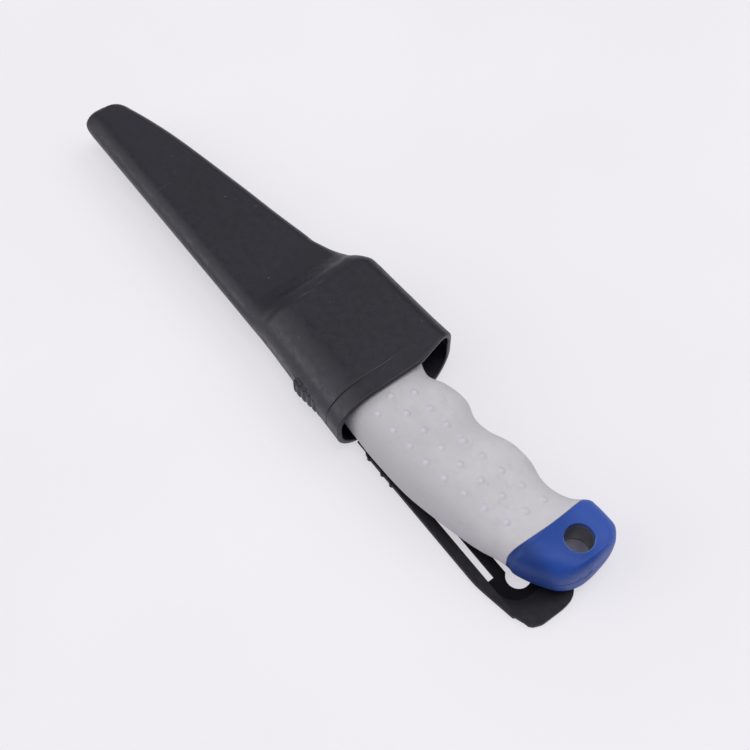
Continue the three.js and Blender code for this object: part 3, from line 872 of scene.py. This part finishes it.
def hole_ring(radius, depth, side, sizes):
    """Circle round the lanyard hole at a depth under the cap's upper or lower face."""
    angle = np.linspace(0, 2 * math.pi, 96, endpoint=False)
    x = HOLE_STATION + radius * np.cos(angle)
    y = HOLE_Y + radius * np.sin(angle)
    height = np.array([handle_height(px, py, sizes) for px, py in zip(x, y)])
    return np.column_stack([FRONT_X + x, y, MID_Z + side * (height - depth)])


def collar(sizes, name, radius, clear):
    """Post round the lanyard hole that stops at the cap's upper and lower rims, with a clearance."""
    upper = hole_ring(radius, (sizes.rim + clear) / MM, 1, sizes)
    lower = hole_ring(radius, (sizes.low_rim + clear) / MM, -1, sizes)
    return skin(name, [upper, lower])


def hole_cutter(sizes, name, flare, groove):
    """Lanyard hole with rounded rims that follow the cap's faces. Below a groove it narrows."""
    middle = sizes.hole_radius / MM
    rings = []
    for side, radius in ((1, middle), (-1, middle - HOLE_DRAFT)):
        half = [hole_ring(radius + flare, -1.5, side, sizes)]
        for turn in np.radians(np.linspace(0, 90, 7)):
            spread = radius + flare * (1 - math.sin(turn))
            half.append(hole_ring(spread, flare * (1 - math.cos(turn)), side, sizes))
        for off, r in ((0.55, middle), (0.28, middle), (0.2, middle + groove)):
            ring = hole_ring(r, 0, side, sizes)
            ring[:, 2] = HOLE_SPLIT_Z + side * off
            half.append(ring)
        rings += half if side == 1 else half[::-1]
    return skin(name, rings)


def make_cap():
    """Hollow end cap with a parting line and a lanyard hole, part of whose upper rim is marked for a painted
    highlight.
    """
    sizes = bpy.context.scene.knife_handle
    seam = (sizes.seam + sizes.gap / 2) / MM - 0.1
    wall = sizes.wall / MM
    count = 220
    end = HANDLE_LENGTH

    def closer_at_mid_height(points):
        return 1 + 5 * np.exp(-((points[:, 1] / 0.5) ** 2))

    def rings_at(stations, inset):
        return handle_rings(stations, inset, sizes, count, closer_at_mid_height)

    butt = 112
    stations = np.concatenate([
        [seam + 0.05, seam + 0.25],
        np.linspace(seam + 0.6, butt, 30),
        end - (end - butt) * np.linspace(1, 0, 30)[1:] ** 1.7,
    ])
    rings = rings_at(np.linspace(end - 0.4, seam + 1.5, 16), wall) + rings_at([seam], wall)
    rings += rings_at([seam], 0.06) + rings_at(stations, 0)
    for station, ring in zip(stations, rings[-len(stations):]):
        depth = PARTING_DEPTH * np.exp(-(((ring[:, 2] - MID_Z) / PARTING_HALF) ** 2))
        endward = np.clip((station - TURN_START) / TURN_RUN, 0, 1)
        ring[:, 0] -= depth * endward
        ring[:, 1:] -= section_normals(ring[:, 1:]) * (depth * (1 - endward))[:, None]
    obj = skin("end_cap_shell", rings)
    recess = collar(sizes, "recess", sizes.hole_radius / MM + 1.5, 0)
    cut(obj, recess)
    cut(obj, hole_cutter(sizes, "hole", HOLE_FLARE, 0))
    x, y, z = mesh_points(obj).T
    x, y = x - FRONT_X - HOLE_STATION, y - HOLE_Y
    rim = np.abs(np.hypot(x, y) - sizes.hole_radius / MM - 0.1) < 0.2
    # Painted highlight: the rim on one side of the hole is marked to show a paler blue, standing in for light
    # caught by its rounded edge.
    mark_points(obj, "wear_and_highlight", 0.6 * (rim & (z > MID_Z) & (0.8 * x > 0.6 * y)))
    return obj


def tang_outline(grow):
    """Outline of the stick tang with cut corners, grown all round."""
    start = FRONT_X - 1
    end = FRONT_X + TANG_END + grow
    low, high = TANG_LOW - grow, TANG_HIGH + grow
    return [
        (start, low),
        (end - TANG_CORNER, low),
        (end, low + TANG_CORNER),
        (end, high - TANG_CORNER),
        (end - TANG_CORNER, high),
        (start, high),
    ]


def cut_posts(obj, radius, half):
    """Cut through a piece of the given half thickness where the core's posts are."""
    for station in POST_STATIONS:
        outline = circle(FRONT_X + station, POST_Y, radius, 32)
        cut(obj, prism("post", outline, MID_Z - half - 1, MID_Z + half + 1))


def make_core():
    """Core of sleeve and cap, with a slot for the tang and a collar round the lanyard hole."""
    sizes = bpy.context.scene.knife_handle
    inset = (sizes.wall + sizes.gap) / MM
    half = bpy.context.scene.knife_blade.thickness / MM / 2 + sizes.gap / MM
    end = HANDLE_LENGTH
    butt = 108
    stations = np.concatenate([
        np.linspace(0, butt, 70),
        end - (end - butt) * np.linspace(1, 0, 20)[1:] ** 1.6,
    ])
    obj = skin("handle_core_bar", handle_rings(stations, inset, sizes, 96))
    slot = prism("tang_slot", tang_outline(sizes.gap / MM), MID_Z - half, MID_Z + half)
    cut_posts(slot, POST_RADIUS, half)
    cut(obj, slot)
    post = collar(sizes, "collar", sizes.hole_radius / MM + 1.2, sizes.gap)
    combine(obj, post, "UNION")
    cut(obj, hole_cutter(sizes, "hole", 0.0005, HOLE_GROOVE))
    return obj


def blade_edge(t):
    """Point on the cutting edge: 0 at the heel, 1 at the tip."""
    points = np.array([
        (FRONT_X - 5, BLADE_HEEL),
        (FRONT_X - 0.46 * BLADE_REACH, BLADE_HEEL),
        (FRONT_X - 0.82 * BLADE_REACH, (2 * BLADE_HEEL + 3 * BLADE_TIP) / 7),
        (FRONT_X - BLADE_REACH, BLADE_TIP),
    ])
    weights = np.array([(1 - t) ** 3, 3 * t * (1 - t) ** 2, 3 * t * t * (1 - t), t**3])
    return weights @ points


def blade_ring(x, edge_y, edge_half, half):
    """Flat ground section: a flat by the spine, a wide grind and a fine cutting bevel."""
    spine = min(BLADE_SPINE, edge_y - 0.3)
    grind = edge_y + 0.4 * (spine - edge_y)
    bevel = edge_y + 0.06 * (spine - edge_y)
    shoulder = edge_half + (half - edge_half) * 0.32
    soft = min(0.25, 0.3 * (grind - spine))
    side = [
        (edge_y, edge_half),
        (bevel, shoulder),
        (grind, half),
        (spine + soft, half),
        (spine, half - soft * 0.8),
    ]
    loop = [(y, -z) for y, z in side[::-1]] + side
    return np.array([(x, y, MID_Z + z) for y, z in loop])


def make_blade():
    """Blade with a blunt ricasso and a stick tang."""
    sizes = bpy.context.scene.knife_blade
    half = sizes.thickness / MM / 2
    fine = sizes.edge / MM / 2
    rings = [blade_ring(FRONT_X - ahead, BLADE_HEEL, half * 0.96, half) for ahead in (0.3, 4.2)]
    for t in 1 - (1 - np.linspace(0, 1, 70)) ** 1.25:
        x, y = blade_edge(t)
        rings.append(blade_ring(x, y, fine, half))
    obj = skin("blade_with_tang", rings)
    tang = prism("tang", tang_outline(0), MID_Z - half, MID_Z + half)
    cut_posts(tang, POST_HOLE_RADIUS, half)
    combine(obj, tang, "UNION")
    return obj


def mirrored(points):
    """The points on the other side of the strap's middle line, in reverse order."""
    return [(x, -y) for x, y in points[::-1]]


def strap_outline():
    """Strap with a narrow web at its root, lugs along both edges and an uneven free end."""
    root, web_end = LIP_X + STRAP_ROOT, LIP_X + WEB_END
    side = [(root, -WEB_HALF), (web_end - 0.5, -WEB_HALF), (web_end + 0.6, -STRAP_HALF)]
    for station in LUG_STATIONS:
        side += [tuple(p) for p in arc(LIP_X + station, -STRAP_HALF + 0.42, 0.92, 208, 332, 11)]
    near = [(LIP_X + x, y - STRAP_Y) for x, y in NEAR_CORNER]
    far = [(LIP_X + x, y - STRAP_Y) for x, y in FAR_CORNER]
    return np.array(side + near + far + mirrored(side)) + (0, STRAP_Y)


def panel_outline():
    """Sunk panel with round corners at the free end."""
    corner = arc(LIP_X + PANEL_END - PANEL_CORNER, PANEL_CORNER - PANEL_HALF, PANEL_CORNER, -90, 0, 16)
    side = [(LIP_X + PANEL_START, -PANEL_HALF), *map(tuple, corner)]
    return np.array(side + mirrored(side)) + (0, STRAP_Y)


def slot_outline(y, half):
    """Belt slot with small round corners."""
    near, far = LIP_X + SLOT_START, LIP_X + SLOT_END
    low, high = y - half + SLOT_CORNER, y + half - SLOT_CORNER
    corners = ((far, high), (near, high), (near, low), (far, low))
    return np.vstack([arc(px, py, SLOT_CORNER, 90 * k, 90 * k + 90, 5) for k, (px, py) in enumerate(corners)])


def keyhole_outline(radius):
    """Long neck with a round end."""
    open_angle = math.degrees(math.asin(KEY_NECK_HALF / radius))
    y = STRAP_Y + KEY_SHIFT
    return np.vstack([
        arc(LIP_X + KEY_START, y, KEY_NECK_HALF, 90, 270, 14),
        arc(LIP_X + KEY_END, y, radius, -180 + open_angle, 180 - open_angle, 44),
    ])


def make_hanger():
    """Strap with a thin, round-ended web, a sunk panel, two belt slots and a keyhole."""
    sizes = bpy.context.scene.knife_hanger
    top = sizes.thickness / MM
    root, web_end = LIP_X + STRAP_ROOT, LIP_X + WEB_END
    plate = prism("belt_hanger_strap", strap_outline(), 0, top)
    over_web = [(LIP_X - 3, -40), (web_end, -40), (web_end, 40), (LIP_X - 3, 40)]
    cut(plate, prism("thin", over_web, WEB_THICK, top + 1))
    x, z = circle(root, WEB_THICK / 2, WEB_THICK / 2, 24).T
    ends = [np.column_stack([x, np.full(24, y + STRAP_Y), z]) for y in (-WEB_HALF, WEB_HALF)]
    combine(plate, skin("root", ends), "UNION")
    panel_floor = top - sizes.panel_depth / MM
    cut(plate, prism("panel", panel_outline(), panel_floor, top + 1))
    slot_half = sizes.slot_width / MM / 2
    for sign in (-1, 1):
        slot = slot_outline(STRAP_Y + sign * (PANEL_HALF - slot_half), slot_half)
        cut(plate, prism("slot", slot, -1, top + 1))
    keyhole = keyhole_outline(sizes.keyhole_radius / MM)
    cut(plate, prism("keyhole", keyhole, -1, top + 1))
    soften = plate.modifiers.new("soften", "BEVEL")
    soften.width = sizes.edge_round
    soften.segments = 3
    soften.limit_method = "ANGLE"
    soften.angle_limit = math.radians(40)
    soften.use_clamp_overlap = True
    keep_result(plate)
    # Painted shade: the panel's floor is marked to reflect less, standing in for the handle's shadow.
    mark_points(plate, "sunk", mesh_points(plate)[:, 2] < top - 0.7 * sizes.panel_depth / MM)
    return plate


# Studio
def make_floor(rgb):
    """Pale table that is lit in part from within, so that the shadow on it stays faint."""
    corners = [(x * TABLE_HALF, y * TABLE_HALF, 0) for x, y in ((-1, -1), (1, -1), (1, 1), (-1, 1))]
    obj = object_from("table_top", corners, [(0, 1, 2, 3)])
    obj.location.z = -TABLE_DROP * MM
    finish = Finish("table_pale")
    paper = finish.mottled(rgb, finish.noise(9), 0.3, 0.7, 0.99, 1.01)
    finish.feed("Base Color", paper)
    finish.feed("Roughness", 0.9)
    finish.feed("Specular IOR Level", 0.1)
    rays = finish.node("ShaderNodeLightPath").outputs
    seen = finish.math("MAXIMUM", rays["Is Camera Ray"], rays["Is Glossy Ray"])
    seen = finish.math("MAXIMUM", seen, rays["Is Transmission Ray"])
    glow = finish.node("ShaderNodeEmission", {"Color": paper}).outputs["Emission"]
    share = finish.math("MULTIPLY", seen, TABLE_GLOW)
    blend = finish.node("ShaderNodeMixShader", {0: share, 1: finish.shader.outputs["BSDF"], 2: glow})
    finish.put(finish.tree.nodes["Material Output"].inputs["Surface"], blend.outputs["Shader"])
    obj.data.materials.append(finish.material)


def soft_light(name, direction, level, spread):
    """Distant softbox. Level is the share of light that it gives to the table top."""
    away = Vector(direction).normalized()
    lamp = bpy.data.lights.new(name, "SUN")
    lamp.energy = level * math.pi / away.z
    lamp.angle = math.radians(spread)
    obj = bpy.data.objects.new(name, lamp)
    obj.rotation_euler = (-away).to_track_quat("-Z", "Y").to_euler()
    bpy.context.scene.collection.objects.link(obj)


def make_lights(context):
    """Faint surround that looks pale to the camera, and soft lamps overhead and on all sides."""
    world = bpy.data.worlds.new("studio")
    context.scene.world = world
    world.use_nodes = True
    tree = world.node_tree
    surround = tree.nodes["Background"]
    surround.inputs["Color"].default_value = (0.99, 0.98, 1, 1)
    rays = tree.nodes.new("ShaderNodeLightPath")
    strength = tree.nodes.new("ShaderNodeMapRange")
    strength.inputs["To Min"].default_value = SURROUND
    strength.inputs["To Max"].default_value = SURROUND_SEEN
    tree.links.new(rays.outputs["Is Camera Ray"], strength.inputs["Value"])
    tree.links.new(strength.outputs["Result"], surround.inputs["Strength"])
    for lamp in LAMPS:
        soft_light(*lamp)


def make_camera(context):
    """Camera at the photograph's height, turn and distance."""
    tilt, turn = math.radians(VIEW_TILT), math.radians(VIEW_TURN)
    away = Vector((math.sin(turn) * math.cos(tilt), -math.cos(turn) * math.cos(tilt), math.sin(tilt)))
    camera = bpy.data.cameras.new("photo_view")
    camera.lens = VIEW_LENS
    camera.sensor_width = 36
    obj = bpy.data.objects.new("photo_view", camera)
    obj.location = (Vector(VIEW_TARGET) + away * VIEW_DISTANCE) * MM
    obj.rotation_euler = (-away).to_track_quat("-Z", "Y").to_euler()
    context.scene.collection.objects.link(obj)
    context.scene.camera = obj
    context.scene.view_settings.view_transform = "Standard"


# Operators and panel
class KNIFE_OT_sheath(bpy.types.Operator):
    """Mould the sheath: pouch, flared throat, rim line and thumb ribs"""

    bl_idname = "knife.sheath"
    bl_label = "Sheath"

    def execute(self, context):
        rgb = tuple(context.scene.knife_finishes.sheath)
        finish = black_plastic("sheath_satin_black", rgb, 0.8, 0.38, 0.6)
        finish_piece(make_sheath(), "sheath", "sheath_body", finish, 50)
        return {"FINISHED"}


class KNIFE_OT_hanger(bpy.types.Operator):
    """Cut the belt hanger strap with its slots and keyhole"""

    bl_idname = "knife.hanger"
    bl_label = "Belt Hanger"

    def execute(self, context):
        rgb = tuple(context.scene.knife_finishes.hanger)
        finish = black_plastic("hanger_satin_black", rgb, 0.5, 0.5, 0.28)
        finish_piece(make_hanger(), "hanger", "belt_hanger", finish, 30)
        return {"FINISHED"}


class KNIFE_OT_blade(bpy.types.Operator):
    """Grind the blade and its stick tang"""

    bl_idname = "knife.blade"
    bl_label = "Blade"

    def execute(self, context):
        finish = blade_steel(tuple(context.scene.knife_finishes.steel))
        finish_piece(make_blade(), "knife", "blade", finish, 3)
        return {"FINISHED"}


class KNIFE_OT_handle(bpy.types.Operator):
    """Form the core, the soft grip with its nubs, and the end cap"""

    bl_idname = "knife.handle"
    bl_label = "Handle"

    def execute(self, context):
        finishes = context.scene.knife_finishes
        core = core_plastic(tuple(finishes.core))
        finish_piece(make_core(), "knife", "handle_core", core)
        grip = grey_soft_grip(tuple(finishes.grip))
        finish_piece(make_grip(), "knife", "grip_sleeve", grip, 60)
        cap = blue_plastic(tuple(finishes.cap))
        finish_piece(make_cap(), "knife", "end_cap", cap, 50)
        return {"FINISHED"}


class KNIFE_OT_stage(bpy.types.Operator):
    """Set the table top, soft lights and camera"""

    bl_idname = "knife.stage"
    bl_label = "Studio"

    def execute(self, context):
        make_floor(tuple(context.scene.knife_finishes.floor))
        make_lights(context)
        make_camera(context)
        return {"FINISHED"}


class KNIFE_PT_panel(bpy.types.Panel):
    """Fishing knife pieces in build order"""

    bl_idname = "KNIFE_PT_panel"
    bl_label = "Fishing Knife"
    bl_space_type = "VIEW_3D"
    bl_region_type = "UI"
    bl_category = "Fishing Knife"

    def draw(self, context):
        for operator in OPERATORS:
            self.layout.operator(operator.bl_idname)
        for group in GROUPS:
            settings = getattr(context.scene, group)
            column = self.layout.column(align=True)
            for name in settings.__annotations__:
                column.prop(settings, name)


OPERATORS = (KNIFE_OT_sheath, KNIFE_OT_hanger, KNIFE_OT_blade, KNIFE_OT_handle, KNIFE_OT_stage)
GROUPS = {
    "knife_sheath": SheathSizes,
    "knife_handle": HandleSizes,
    "knife_hanger": HangerSizes,
    "knife_blade": BladeSizes,
    "knife_finishes": Finishes,
}


def register():
    for name, group in GROUPS.items():
        bpy.utils.register_class(group)
        setattr(bpy.types.Scene, name, bpy.props.PointerProperty(type=group))
    for item in (*OPERATORS, KNIFE_PT_panel):
        bpy.utils.register_class(item)


def unregister():
    for item in (KNIFE_PT_panel, *reversed(OPERATORS)):
        bpy.utils.unregister_class(item)
    for name, group in reversed(GROUPS.items()):
        delattr(bpy.types.Scene, name)
        bpy.utils.unregister_class(group)


def main():
    register()
    bpy.ops.knife.sheath()
    bpy.ops.knife.hanger()
    bpy.ops.knife.blade()
    bpy.ops.knife.handle()
    bpy.ops.knife.stage()
    bpy.context.view_layer.update()


if __name__ == "__main__":
    main()
